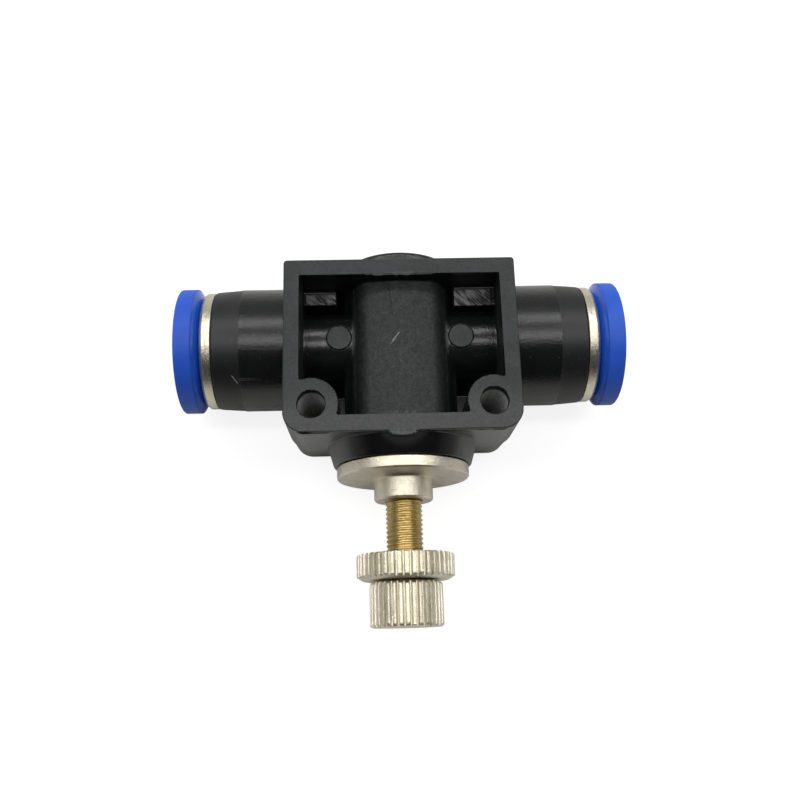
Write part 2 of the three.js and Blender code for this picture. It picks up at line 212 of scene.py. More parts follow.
def body_sdf(x, y, z):
    az = z - AZ
    rt = np.hypot(y, az)
    rn = np.hypot(x, az)
    # two mould halves that meet at the parting line, over a slightly smaller core
    d2 = plate(x, y, 18.8, -17.5, 11.35, 3.4, 0.55)
    rear = isect(d2, np.abs(z - 18.0) - 6.0, 0.2)
    f2 = plate(x, y, 18.62, -17.34 + 0.075 * np.clip(12.0 - z, 0.0, 12.0), 11.2, 3.2, 2.0)
    front = isect(f2, np.abs(z - 6.0) - 6.0, 0.12)
    front = np.maximum(front, isect(f2, -z, 1.8))
    core = np.maximum(np.maximum(d2, f2) + 0.25, np.abs(z - AZ) - 10.0)
    d = np.minimum(np.minimum(rear, front), core)
    # shallow undercut below the rim on the knob side
    lip = 0.15 + 0.1 * wobble(x, 3, 0.55) + 0.32 * np.exp(-(((x + 15.6) / 1.7) ** 2))
    under = np.maximum(np.hypot((y + 17.5 - 0.0) / 1.0, (z - 23.3) / 1.1) - np.maximum(lip, 0.02), np.abs(x) - 16.6)
    d = cut(d, under, 0.04)
    # barrels
    s = np.abs(x)
    rb = np.where(s < 26.3, 10.38, 10.3 - 0.32 * np.clip((s - 26.3) / 4.44, 0, 1) ** 1.15)
    rb = 10.38 - (10.38 - rb) * np.clip((s - 25.9) / 0.8, 0, 1)
    bar = isect(rt - rb, s - 30.72, 0.3)
    bar = np.maximum(bar, 14.0 - s)
    d = union(d, bar, 0.22)
    # boss on the knob side, flattened at the front and rear planes
    rboss = 12.35 + (y + 17.5) * (1.0 / 3.4)
    boss = isect((np.hypot(x, az * 1.05) - np.clip(rboss, 11.2, 12.5)) * 0.93, -20.88 - y, 0.3)
    flat = (np.abs(az) - 11.93 - 0.27 * np.minimum(y + 17.5, 0.0)) * 0.965
    boss = np.maximum(np.maximum(boss, flat), y + 15.5)
    d = union(d, boss, 0.18)
    # closed boss on the far side
    tb = isect(rn - 9.42, y - 13.86, 0.7)
    tb = np.maximum(tb, 9.5 - y)
    d = union(d, tb, 0.25)
    # lump and burr where the sprue was cut, on the rim's knob-side edge
    lump = np.sqrt(((x + 0.15) / 2.45) ** 2 + ((y + 17.35) / 0.95) ** 2 + ((z - 23.4) / 1.3) ** 2) - 1.0
    lump = lump * 0.5 + 0.03 * np.sin(7.3 * x + 1.0) * np.sin(6.1 * y + 4.0 * z) + 0.02 * np.sin(12.0 * x + 5.0 * y) * np.sin(11.0 * z)
    lump = np.maximum(lump, z - 23.96 + 0.012 * np.sin(9.0 * x + 2.0) * np.sin(8.0 * y))
    d = union(d, lump, 0.06)
    # rear pocket, with what stands in it left standing
    pk = rect(x, y, -16.2, 16.2, -14.7, 8.65, 0.25)
    pk = isect(pk, 3.0 - z, 0.5)
    spine = np.hypot(x, np.maximum(az, 0)) - 9.5
    crown = isect(np.abs(x) - 7.4, np.hypot(x, az + 10.5) - 20.0, 2.4)
    spine = np.minimum(spine, np.maximum(crown, -az))
    duct = np.hypot(y, np.maximum(az, 0)) - 6.0
    inner = union(spine, duct, 0.3)
    for sx in (-1, 1):
        post = np.hypot(x - sx * 14.35, y + 12.97) - 4.3
        inner = union(inner, post, 0.15)
        pin = np.maximum(np.hypot(x - sx * 10.15, y) - 2.0, z - 17.96)
        inner = np.minimum(inner, np.maximum(pin, np.hypot(y, az) - 6.6))
    padl = isect(rect(x, y, -17.0, -10.6, 6.2, 9.5, 0.1), z - 17.0, 0.12)
    padr = isect(rect(x, y, 9.2, 17.0, 5.2, 9.5, 0.1), z - 18.25, 0.12)
    inner = np.minimum(inner, np.minimum(padl, padr))
    void = cut(pk, inner, 0.35)
    d = cut(d, void, 0.08)
    # narrow ring gap round each ejector pin mark
    for gx, gy in GROOVES:
        ring = np.abs(np.hypot(x - gx, y - gy) - 2.075) - 0.075
        ring = np.maximum(np.maximum(ring, 17.45 - z), z - 19.0)
        d = np.maximum(d, -ring)
    # thin burr along the far wall's inner rim edge
    wid = (0.17 + 0.1 * wobble(x, 11, 1.3)) * np.clip((6.5 - np.abs(x + 0.2)) / 2.5, 0.0, 1.0)
    fin = np.maximum(np.maximum(np.abs(x + 0.2) - 6.4, np.abs(y - 8.6) - np.maximum(wid, 0.03)), np.abs(z - 23.8) - 0.16)
    d = np.minimum(d, fin)
    # needle bore, sockets, passages and screw holes
    bore = np.maximum(rn - 7.8, y - 6.0)
    bore = np.minimum(bore, isect(rn - 5.0, y - 10.9, 0.4))
    d = cut(d, bore, 0.2)
    sock = np.maximum(rt - 6.1, 17.4 - s)
    sock = np.minimum(sock, np.maximum(rt - 8.1, 19.4 - s))
    sock = np.minimum(sock, np.maximum(rt - 9.05, 22.9 - s))
    d = cut(d, sock, 0.12)
    pas = np.maximum(np.hypot(y - np.where(x < 0, 2.6, -2.6), az) - 1.9, np.maximum(s - 17.9, 5.0 - s))
    d = cut(d, pas, 0.15)
    for sx in (-1, 1):
        hole = np.hypot(x - sx * 14.35, y + 12.97) - 2.2
        d = cut(d, hole, 0.16)
    return d


def surface_nets(f, lo, hi, h):
    """A closed quad mesh of f = 0."""
    ax = [np.arange(lo[i], hi[i] + h * 0.5, h) for i in range(3)]
    v = np.empty([len(a) for a in ax], np.float32)
    step = 24
    for i in range(0, len(ax[0]), step):
        v[i : i + step] = f(ax[0][i : i + step, None, None], ax[1][None, :, None], ax[2][None, None, :])
    s = v < 0
    n = np.zeros([k - 1 for k in v.shape], np.uint8)
    corners = [(a, b, c) for a in (0, 1) for b in (0, 1) for c in (0, 1)]
    for a, b, c in corners:
        n += s[a : s.shape[0] - 1 + a, b : s.shape[1] - 1 + b, c : s.shape[2] - 1 + c]
    cells = np.argwhere((n > 0) & (n < 8))
    index = np.full(n.shape, -1, np.int32)
    index[tuple(cells.T)] = np.arange(len(cells))
    val = {c: v[cells[:, 0] + c[0], cells[:, 1] + c[1], cells[:, 2] + c[2]].astype(float) for c in corners}
    total, count = np.zeros((len(cells), 3)), np.zeros(len(cells))
    for a in corners:
        for k in range(3):
            if a[k]:
                continue
            b = tuple(1 if q == k else a[q] for q in range(3))
            va, vb = val[a], val[b]
            hit = (va < 0) != (vb < 0)
            t = np.where(hit, va / np.where(hit, va - vb, 1.0), 0.0)
            p = np.repeat(np.array([a], float), len(cells), 0)
            p[:, k] = t
            total += np.where(hit[:, None], p, 0.0)
            count += hit
    pos = np.array([a[0] for a in ax]) + (cells + total / count[:, None]) * h
    quads = []
    for k in range(3):
        u, w = (k + 1) % 3, (k + 2) % 3
        sl0, sl1 = [slice(None)] * 3, [slice(None)] * 3
        sl0[k], sl1[k] = slice(0, -1), slice(1, None)
        flip = s[tuple(sl0)] != s[tuple(sl1)]
        inner = [slice(None)] * 3
        e = np.argwhere(flip)
        e = e[(e[:, u] > 0) & (e[:, w] > 0) & (e[:, u] < n.shape[u]) & (e[:, w] < n.shape[w])]
        four = []
        for du, dw in ((-1, -1), (0, -1), (0, 0), (-1, 0)):
            q = e.copy()
            q[:, u] += du
            q[:, w] += dw
            four.append(index[tuple(q.T)])
        four = np.stack(four, 1)
        inside_first = s[tuple(e.T)]
        four[~inside_first] = four[~inside_first][:, ::-1]
        quads.append(four)
    quads = np.concatenate(quads)
    return pos, quads[(quads >= 0).all(1)]


def gradient(f, p, e=0.006):
    g = np.empty_like(p)
    for k in range(3):
        q0, q1 = p.copy(), p.copy()
        q0[:, k] -= e
        q1[:, k] += e
        g[:, k] = f(q1[:, 0], q1[:, 1], q1[:, 2]) - f(q0[:, 0], q0[:, 1], q0[:, 2])
    return g / (2 * e)


def settle(f, p, steps, reach):
    """Moves points onto f = 0, each by at most reach."""
    home = p.copy()
    for _ in range(steps):
        d = f(p[:, 0], p[:, 1], p[:, 2])
        g = gradient(f, p)
        g2 = np.maximum((g * g).sum(1), 0.09)
        p = p - g * (d / g2)[:, None] * 0.9
        away = p - home
        far = np.linalg.norm(away, axis=1)
        p = home + away * np.minimum(1.0, reach / np.maximum(far, 1e-9))[:, None]
    return p


def moulded(name, f, lo, hi, h, fine, target):
    """A smooth-shaded mesh of f = 0: coarse all over, four times finer where fine(centres) says so, at most target triangles."""
    pos, quads = surface_nets(f, lo, hi, h)
    pos = settle(f, pos, 4, 0.7 * h)
    me = bpy.data.meshes.new(name)
    me.from_pydata(pos.tolist(), [], quads.tolist())
    bm = bmesh.new()
    bm.from_mesh(me)
    if fine is not None:
        centres = pos[quads].mean(1)
        pick = fine(centres)
        bm.faces.ensure_lookup_table()
        edges = {e for i in np.flatnonzero(pick) for e in bm.faces[i].edges}
        bmesh.ops.subdivide_edges(bm, edges=list(edges), cuts=3, use_grid_fill=True)
        bm.verts.ensure_lookup_table()
        co = np.array([v.co[:] for v in bm.verts])
        new = np.arange(len(co)) >= len(pos)
        near = new | np.isin(np.arange(len(co)), np.unique(quads[pick]))
        co[near] = settle(f, co[near], 5, 0.12)
        for i in np.flatnonzero(near):
            bm.verts[i].co = co[i]
    bmesh.ops.triangulate(bm, faces=bm.faces)
    bmesh.ops.dissolve_degenerate(bm, edges=bm.edges, dist=0.004)
    bm.to_mesh(me)
    bm.free()
    ob = bpy.data.objects.new(name, me)
    scene.collection.objects.link(ob)
    if len(me.polygons) > target:
        thin = ob.modifiers.new("thin", "DECIMATE")
        thin.ratio = target / len(me.polygons)
        apply_modifiers(ob)
        me = ob.data
    co = np.empty(len(me.vertices) * 3)
    me.vertices.foreach_get("co", co)
    co = co.reshape(-1, 3)
    co[:, 2] = np.minimum(co[:, 2], 2 * AZ)
    g = gradient(f, co, 0.02)
    g /= np.maximum(np.linalg.norm(g, axis=1), 1e-9)[:, None]
    me.vertices.foreach_set("co", (co * 0.001).ravel())
    me.update()
    me.shade_smooth()
    me.normals_split_custom_set_from_vertices(g.tolist())
    me.name = name
    return ob


# ------------------------------------------------------------------ node materials
class Nodes:
    """A small helper to write node trees."""

    def __init__(self, name):
        self.mat = bpy.data.materials.new(name)
        self.mat.use_nodes = True
        self.nt = self.mat.node_tree
        self.nt.nodes.clear()
        self.out = self.nt.nodes.new("ShaderNodeOutputMaterial")
        self.bsdf = self.nt.nodes.new("ShaderNodeBsdfPrincipled")
        self.nt.links.new(self.bsdf.outputs[0], self.out.inputs[0])
        self.coord = self.node("ShaderNodeTexCoord").outputs["Object"]
        self.mm = self.vec("SCALE", self.coord, 1000.0)
        split = self.node("ShaderNodeSeparateXYZ")
        self.link(self.mm, split.inputs[0])
        self.x, self.y, self.z = split.outputs

    def node(self, kind, **props):
        n = self.nt.nodes.new(kind)
        for k, v in props.items():
            setattr(n, k, v)
        return n

    def link(self, a, b):
        if hasattr(a, "is_output"):
            self.nt.links.new(a, b)
        else:
            b.default_value = a

    def math(self, op, a, b=0.0, c=None, clamp=False):
        n = self.node("ShaderNodeMath", operation=op, use_clamp=clamp)
        self.link(a, n.inputs[0])
        self.link(b, n.inputs[1])
        if c is not None:
            self.link(c, n.inputs[2])
        return n.outputs[0]

    def vec(self, op, a, b=None):
        n = self.node("ShaderNodeVectorMath", operation=op)
        self.link(a, n.inputs[0])
        if op == "SCALE":
            self.link(b, n.inputs["Scale"])
        elif b is not None:
            self.link(b, n.inputs[1])
        return n.outputs[0]

    def noise(self, scale, detail=2.0, rough=0.5, vector=None, distortion=0.0):
        n = self.node("ShaderNodeTexNoise")
        self.link(self.mm if vector is None else vector, n.inputs["Vector"])
        n.inputs["Scale"].default_value = scale
        n.inputs["Detail"].default_value = detail
        n.inputs["Roughness"].default_value = rough
        n.inputs["Distortion"].default_value = distortion
        return n.outputs[0]

    def voronoi(self, scale, vector=None, feature="F1", out="Distance"):
        n = self.node("ShaderNodeTexVoronoi", feature=feature)
        self.link(self.mm if vector is None else vector, n.inputs["Vector"])
        n.inputs["Scale"].default_value = scale
        return n.outputs[out]

    def remap(self, v, a, b, lo=0.0, hi=1.0, smooth=False):
        n = self.node("ShaderNodeMapRange", interpolation_type="SMOOTHSTEP" if smooth else "LINEAR")
        self.link(v, n.inputs["Value"])
        for k, val in (("From Min", a), ("From Max", b), ("To Min", lo), ("To Max", hi)):
            n.inputs[k].default_value = val
        return n.outputs[0]

    def mix(self, f, a, b):
        n = self.node("ShaderNodeMix", data_type="RGBA")
        self.link(f, n.inputs[0])
        self.link(a if hasattr(a, "is_output") else (*a, 1.0), n.inputs[6])
        self.link(b if hasattr(b, "is_output") else (*b, 1.0), n.inputs[7])
        return n.outputs[2]

    def mixf(self, f, a, b):
        n = self.node("ShaderNodeMix", data_type="FLOAT")
        self.link(f, n.inputs[0])
        self.link(a, n.inputs[2])
        self.link(b, n.inputs[3])
        return n.outputs[0]

    def combine(self, x, y, z):
        n = self.node("ShaderNodeCombineXYZ")
        for k, v in enumerate((x, y, z)):
            self.link(v, n.inputs[k])
        return n.outputs[0]

    def bump(self, height, distance_mm, strength=1.0, normal=None):
        n = self.node("ShaderNodeBump")
        n.inputs["Strength"].default_value = strength
        n.inputs["Distance"].default_value = distance_mm * 0.001
        self.link(height, n.inputs["Height"])
        if normal is not None:
            self.link(normal, n.inputs["Normal"])
        return n.outputs[0]

    def within(self, v, lo, hi, soft):
        """1 where v lies between lo and hi."""
        return self.math("MULTIPLY", self.remap(v, lo - soft, lo + soft, 0, 1, True), self.remap(v, hi - soft, hi + soft, 1, 0, True))

    def finish(self, color=None, rough=None, normal=None, metallic=0.0, specular=0.5, ior=1.5, coat=0.0, coat_rough=0.1):
        i = self.bsdf.inputs
        if color is not None:
            self.link(color if hasattr(color, "is_output") else (*color, 1.0), i["Base Color"])
        if rough is not None:
            self.link(rough, i["Roughness"])
        if normal is not None:
            self.link(normal, i["Normal"])
        i["Metallic"].default_value = metallic
        i["Specular IOR Level"].default_value = specular
        i["IOR"].default_value = ior
        i["Coat Weight"].default_value = coat
        i["Coat Roughness"].default_value = coat_rough
        return self.mat


SCRATCH_A, SCRATCH_B = (-27.4, -6.8), (-26.55, -7.78)
LINE_A, LINE_B = (-1.88, 8.3), (-1.18, 2.5)


def segment(k, a, b, width, soft=0.04):
    """1 near the line from a to b, both (x, y) in millimetres, seen along z."""
    ax, ay, bx, by = *a, *b
    dx, dy = bx - ax, by - ay
    n2 = dx * dx + dy * dy
    px = k.math("SUBTRACT", k.x, ax)
    py = k.math("SUBTRACT", k.y, ay)
    t = k.math("ADD", k.math("MULTIPLY", px, dx / n2), k.math("MULTIPLY", py, dy / n2))
    t = k.math("MINIMUM", k.math("MAXIMUM", t, 0.0), 1.0)
    ex = k.math("SUBTRACT", px, k.math("MULTIPLY", t, dx))
    ey = k.math("SUBTRACT", py, k.math("MULTIPLY", t, dy))
    dist = k.math("SQRT", k.math("ADD", k.math("MULTIPLY", ex, ex), k.math("MULTIPLY", ey, ey)))
    return k.remap(dist, width, width + soft, 1.0, 0.0, True)


def spot(k, x, y, r, soft):
    """1 inside a disc of radius r about (x, y), seen along z."""
    px, py = k.math("SUBTRACT", k.x, x), k.math("SUBTRACT", k.y, y)
    dist = k.math("SQRT", k.math("ADD", k.math("MULTIPLY", px, px), k.math("MULTIPLY", py, py)))
    return k.remap(dist, r, r + soft, 1.0, 0.0, True)


def body_material():
    k = Nodes("body_plastic")
    geo = k.node("ShaderNodeNewGeometry")
    nsplit = k.node("ShaderNodeSeparateXYZ")
    k.link(geo.outputs["True Normal"], nsplit.inputs[0])
    nz = nsplit.outputs[2]
    ax = k.math("ABSOLUTE", k.x)
    rim = k.math("MULTIPLY", k.remap(k.z, 23.7, 23.85, 0, 1, True), k.remap(nz, 0.9, 0.99, 0, 1, True))
    barrel = k.within(ax, 18.9, 26.1, 0.12)
    tip = k.remap(ax, 26.0, 26.3, 0, 1, True)
    well = k.math("MULTIPLY", k.within(ax, -1.0, 16.3, 0.05), k.within(k.y, -14.8, 8.75, 0.05))
    inside = k.math("MULTIPLY", well, k.within(k.z, 3.2, 23.2, 0.1))
    discs = k.math("MULTIPLY", k.math("MAXIMUM", spot(k, 10.15, 0.0, 1.98, 0.03), spot(k, -10.15, 0.0, 1.98, 0.03)), k.remap(k.z, 17.8, 17.9, 0, 1))
    ducts = k.math("MULTIPLY", inside, k.remap(ax, 7.6, 8.2, 0, 1, True))
    ducts = k.math("MULTIPLY", k.math("MULTIPLY", ducts, k.remap(k.math("ABSOLUTE", k.y), 6.2, 6.6, 1, 0, True)), k.math("SUBTRACT", 1.0, discs))
    spine = k.math("MULTIPLY", inside, k.remap(ax, 7.6, 8.2, 1, 0, True))
    grain = k.noise(2.6, 3.0, 0.62)
    fine = k.noise(6.0, 2.0, 0.6)
    broad = k.noise(0.35, 3.0, 0.55)
    # colour: near black, a little greyer on the flat rear rim
    base = k.mix(k.remap(broad, 0.3, 0.7), (0.0052, 0.0058, 0.0058), (0.0078, 0.0084, 0.0083))
    rimc = k.mix(k.remap(k.math("ADD", k.math("MULTIPLY", broad, 0.5), k.math("MULTIPLY", grain, 0.5)), 0.41, 0.59), (0.0004, 0.0040, 0.0036), (0.0120, 0.0185, 0.0175))
    patch = k.math("MULTIPLY", spot(k, 16.9, -10.4, 0.9, 1.1), k.remap(k.noise(2.4, 3.0, 0.7), 0.5, 0.56))
    rimc = k.mix(k.math("MULTIPLY", patch, 0.8), rimc, (0.002, 0.003, 0.003))
    color = k.mix(k.math("MAXIMUM", rim, discs), base, rimc)
    outer = k.math("MULTIPLY", k.within(ax, -1.0, 18.95, 0.05), k.within(k.y, -17.6, 11.5, 0.05))
    outer = k.math("MULTIPLY", outer, k.math("SUBTRACT", 1.0, k.math("MAXIMUM", k.math("MAXIMUM", rim, k.math("MULTIPLY", well, k.remap(k.z, 2.9, 3.1, 0, 1))), discs)))
    color = k.mix(outer, color, (0.026, 0.027, 0.025))
    # painted light: the knob-side outer wall is coloured a light grey far above the black plastic, standing in for the
    # light thrown up on it from the floor
    wall_painted_light = k.math("MULTIPLY", k.remap(nsplit.outputs[1], -0.9, -0.97, 0, 1, True), k.remap(k.y, -16.8, -17.2, 0, 1))
    color = k.mix(wall_painted_light, color, (0.098, 0.106, 0.097))
    # painted shade and light on the knob-side boss under the rim: its middle is painted near black as painted shade,
    # its sides a lighter grey as painted light
    front = k.math("MULTIPLY", k.remap(k.y, -17.55, -17.7, 0, 1, True), k.remap(k.z, 23.3, 23.0, 0, 1))
    boss_sides_painted_light = k.math("MULTIPLY", front, k.remap(ax, 6.5, 10.5, 0, 1, True))
    color = k.mix(front, color, (0.003, 0.0035, 0.003))
    color = k.mix(boss_sides_painted_light, color, (0.054, 0.062, 0.055))
    cheek = k.math("MULTIPLY", inside, k.remap(k.math("ABSOLUTE", nz), 0.5, 0.3, 0, 1, True))
    color = k.mix(cheek, color, (0.0040, 0.0060, 0.0065))
    worn = k.math("MULTIPLY", spine, k.remap(k.math("ADD", k.math("MULTIPLY", k.noise(1.1, 4.0, 0.7), 0.7), k.math("MULTIPLY", fine, 0.3)), 0.45, 0.57))
    color = k.mix(spine, color, (0.0022, 0.0026, 0.0026))
    color = k.mix(worn, color, (0.0125, 0.0160, 0.0155))
    # painted light: the rim is painted a little lighter towards the knob side, with a grain in the lighter tone
    rim_painted_light = k.math("MULTIPLY", rim, k.remap(k.y, -9.0, -15.5, 0.0, 1.0, True))
    color = k.mix(rim_painted_light, color, k.mix(k.remap(grain, 0.35, 0.65), (0.026, 0.029, 0.027), (0.046, 0.049, 0.046)))
    # painted light: the screw hole walls are painted pale grey, standing in for light bouncing down the holes
    bore_walls_painted_light = k.math("MAXIMUM", spot(k, 14.35, -12.97, 2.24, 0.05), spot(k, -14.35, -12.97, 2.24, 0.05))
    bore_walls_painted_light = k.math("MULTIPLY", bore_walls_painted_light, k.remap(k.z, 23.0, 22.0, 0, 1, True))
    color = k.mix(bore_walls_painted_light, color, k.mix(k.remap(grain, 0.35, 0.65), (0.38, 0.39, 0.38), (0.60, 0.61, 0.60)))
    # pale dust specks
    dots = k.math("MULTIPLY", k.remap(k.voronoi(1.5), 0.10, 0.17, 1.0, 0.0), k.remap(k.noise(0.9, 3.0, 0.7), 0.5, 0.6, 0.0, 1.0))
    color = k.mix(k.math("MULTIPLY", dots, 0.55), color, (0.085, 0.09, 0.085))
    # handling marks: short pale scratches, the rubbed sprue stub and the burr
    marks = segment(k, (-1.35, -1.9), (-0.25, -0.55), 0.03, 0.05)
    marks = k.math("MAXIMUM", marks, k.math("MULTIPLY", segment(k, (-1.75, -2.45), (-0.75, -1.6), 0.015, 0.05), 0.55))
    marks = k.math("MULTIPLY", marks, k.remap(fine, 0.35, 0.5, 0.35, 0.85))
    top = k.remap(k.z, 18.5, 19.0, 0, 1)
    marks = k.math("MULTIPLY", marks, k.math("MULTIPLY", top, spine))
    low = segment(k, SCRATCH_A, SCRATCH_B, 0.02)
    marks = k.math("MAXIMUM", marks, k.math("MULTIPLY", low, k.remap(k.z, 12.0, 13.0, 0, 1)))
    rubbed = k.math("MULTIPLY", k.remap(k.noise(3.2, 3.0, 0.7), 0.52, 0.62), k.math("MAXIMUM", k.math("MULTIPLY", segment(k, (-1.9, -17.8), (1.5, -17.8), 0.3, 0.4), 0.12), k.math("MULTIPLY", k.math("MAXIMUM", segment(k, (-3.2, -14.2), (2.6, -14.2), 0.2, 0.6), k.math("MULTIPLY", segment(k, (-1.6, -4.2), (2.6, -7.4), 0.6, 1.6), k.remap(k.noise(1.7, 4.0, 0.75), 0.54, 0.6))), 0.7)))
    rubbed = k.math("MAXIMUM", rubbed, k.math("MULTIPLY", segment(k, (-0.9, 8.8), (2.1, 8.85), 0.08, 0.35), k.remap(k.noise(4.0, 2.0), 0.45, 0.55, 0.0, 0.5)))
    rubbed = k.math("MULTIPLY", rubbed, k.remap(k.z, 20.0, 20.6, 0, 1))
    stub = k.math("MULTIPLY", segment(k, (-1.9, -17.75), (1.6, -17.75), 0.45, 0.1), k.remap(k.z, 23.5, 23.7, 0, 1))
    color = k.mix(stub, color, k.mix(k.remap(grain, 0.35, 0.65), (0.034, 0.038, 0.036), (0.072, 0.077, 0.073)))
    color = k.mix(k.math("MULTIPLY", rubbed, 0.7), color, (0.13, 0.135, 0.13))
    color = k.mix(marks, color, (0.42, 0.43, 0.42))
    # rough tool marks on the two small pads in the pocket; the pads are painted light grey as painted light, and their
    # strips next to the pocket walls are left dark as painted shadow
    padl = k.math("MULTIPLY", k.within(k.x, -15.7, -10.55, 0.05), k.within(k.z, 16.85, 17.3, 0.05))
    padr = k.math("MULTIPLY", k.within(k.x, 9.1, 15.3, 0.05), k.within(k.z, 18.1, 18.6, 0.05))
    pads = k.math("MULTIPLY", k.math("ADD", padl, padr), k.within(k.y, 5.1, 8.05, 0.2))
    diag = k.combine(k.math("ADD", k.x, k.y), k.math("MULTIPLY", k.math("SUBTRACT", k.x, k.y), 0.14), k.z)
    tool = k.remap(k.noise(2.5, 3.0, 0.6, diag, 0.6), 0.44, 0.58)
    color = k.mix(pads, color, k.mix(tool, (0.010, 0.011, 0.011), (0.20, 0.205, 0.20)))
    # gloss: the barrels and ducts are glossy under a coarse grain, the rim and the barrel tips satin
    rough = k.mixf(k.math("MAXIMUM", rim, discs), 0.27, k.remap(fine, 0.3, 0.7, 0.48, 0.58))
    rough = k.mixf(barrel, rough, k.remap(fine, 0.3, 0.7, 0.15, 0.27))
    rough = k.mixf(ducts, rough, k.remap(fine, 0.3, 0.7, 0.14, 0.26))
    rough = k.mixf(tip, rough, k.remap(fine, 0.3, 0.7, 0.40, 0.50))
    rough = k.mixf(spine, rough, k.remap(grain, 0.3, 0.7, 0.48, 0.72))
    rough = k.mixf(wall_painted_light, rough, 0.26)
    rough = k.mixf(front, rough, 0.16)
    rough = k.mixf(boss_sides_painted_light, rough, 0.3)
    rough = k.mixf(cheek, rough, 0.6)
    rough = k.mixf(bore_walls_painted_light, rough, 0.8)
    rough = k.mixf(pads, rough, 0.6)
    # relief
    streak = k.noise(1.0, 3.0, 0.6, k.combine(k.math("MULTIPLY", k.x, 4.0), k.math("MULTIPLY", k.y, 0.8), k.math("MULTIPLY", k.z, 0.8)))
    amount = k.mixf(barrel, 0.2, 0.58)
    amount = k.mixf(tip, amount, 0.12)
    amount = k.mixf(ducts, amount, 0.4)
    amount = k.mixf(rim, amount, 0.4)
    amount = k.mixf(spine, amount, 0.9)
    height = k.math("MULTIPLY", k.math("ADD", grain, k.math("MULTIPLY", fine, 0.4)), amount)
    height = k.math("ADD", height, k.math("MULTIPLY", k.math("MULTIPLY", k.noise(4.2, 2.0, 0.6), barrel), 0.16))
    height = k.math("ADD", height, k.math("MULTIPLY", k.math("MULTIPLY", streak, ducts), 0.8))
    height = k.math("ADD", height, k.math("MULTIPLY", k.math("MULTIPLY", pads, tool), 1.2))
    # thin mould line along the top of the spine
    line = segment(k, LINE_A, LINE_B, 0.03, 0.05)
    line = k.math("MULTIPLY", k.math("MULTIPLY", line, spine), top)
    color = k.mix(k.math("MULTIPLY", line, 0.8), color, (0.001, 0.001, 0.001))
    height = k.math("SUBTRACT", height, k.math("MULTIPLY", line, 0.8))
    normal = k.bump(height, 0.07, 1.0)
    return k.finish(color, rough, normal, specular=0.5)


def blue_material():
    k = Nodes("release_plastic")
    broad = k.noise(0.25, 3.0, 0.5)
    color = k.mix(k.remap(broad, 0.3, 0.7), (0.016, 0.090, 0.55), (0.022, 0.105, 0.63))
    fine = k.noise(9.0, 2.0, 0.5)
    rough = k.remap(fine, 0.3, 0.7, 0.46, 0.54)
    bevel = k.within(k.math("ABSOLUTE", k.x), 32.5, 33.8, 0.05)
    rough = k.mixf(bevel, rough, 0.16)
    return k.finish(color, rough, k.bump(k.noise(1.4, 3.0, 0.5), 0.02, 0.5), specular=0.35)


def nickel_material():
    k = Nodes("nickel")
    broad = k.noise(0.5, 3.0, 0.6)
    grain = k.noise(7.0, 3.0, 0.65)
    color = k.mix(k.remap(broad, 0.3, 0.7), (0.62, 0.58, 0.455), (0.76, 0.715, 0.585))
    pits = k.remap(k.voronoi(1.1), 0.03, 0.07, 0.0, 1.0)
    color = k.mix(pits, (0.28, 0.24, 0.18), color)
    rough = k.remap(grain, 0.3, 0.7, 0.22, 0.38)
    return k.finish(color, rough, k.bump(k.math("ADD", grain, k.noise(3.0, 2.0, 0.6)), 0.04, 1.0), metallic=1.0)


def brass_material():
    k = Nodes("brass")
    broad = k.noise(0.8, 3.0, 0.6)
    grain = k.noise(8.0, 3.0, 0.6)
    color = k.mix(k.remap(broad, 0.3, 0.7), (0.49, 0.365, 0.14), (0.61, 0.475, 0.225))
    rough = k.remap(grain, 0.3, 0.7, 0.22, 0.36)
    return k.finish(color, rough, k.bump(grain, 0.012, 0.8), metallic=1.0)


def steel_material():
    k = Nodes("steel")
    stretch = k.combine(k.math("MULTIPLY", k.x, 0.2), k.math("MULTIPLY", k.y, 6.0), k.math("MULTIPLY", k.z, 6.0))
    lines = k.noise(2.0, 3.0, 0.6, stretch)
    color = k.mix(k.remap(lines, 0.3, 0.7), (0.52, 0.53, 0.54), (0.66, 0.66, 0.67))
    return k.finish(color, k.remap(lines, 0.3, 0.7, 0.22, 0.38), k.bump(lines, 0.01, 0.6), metallic=1.0)


def rubber_material():
    k = Nodes("rubber")
    grain = k.noise(6.0, 3.0, 0.6)
    color = k.mix(k.remap(k.noise(0.8, 3.0), 0.3, 0.7), (0.010, 0.010, 0.010), (0.021, 0.021, 0.020))
    return k.finish(color, k.remap(grain, 0.3, 0.7, 0.5, 0.7), k.bump(grain, 0.015, 0.7))


def seat_material():
    k = Nodes("seat_plastic")
    grain = k.noise(5.0, 3.0, 0.6)
    color = k.mix(k.remap(k.noise(0.6, 3.0), 0.3, 0.7), (0.62, 0.62, 0.57), (0.74, 0.74, 0.69))
    return k.finish(color, k.remap(grain, 0.3, 0.7, 0.4, 0.52), k.bump(grain, 0.01, 0.5))


M = {
    "body_plastic": body_material(),
    "release_plastic": blue_material(),
    "nickel": nickel_material(),
    "brass": brass_material(),
    "steel": steel_material(),
    "rubber": rubber_material(),
    "seat_plastic": seat_material(),
}

# ------------------------------------------------------------------ moulded body
H = 0.22


def near_details(c):
    m = np.zeros(len(c), bool)
    for gx, gy in GROOVES:
        m |= (np.abs(np.hypot(c[:, 0] - gx, c[:, 1] - gy) - 2.07) < 0.3) & (c[:, 2] > 17.2)
    m |= (np.abs(c[:, 0] - 0.6) < 3.4) & (c[:, 1] < -16.9) & (c[:, 2] > 22.4)
    m |= (np.abs(c[:, 0]) < 6.9) & (np.abs(c[:, 1] - 8.6) < 0.5) & (c[:, 2] > 23.2)
    return m


valve_body = moulded("valve_body_moulding", body_sdf, (-31.3, -21.5, -0.6), (31.3, 14.5, 24.6), H, near_details, 190000)
place(valve_body, "valve_body", "valve", M["body_plastic"])

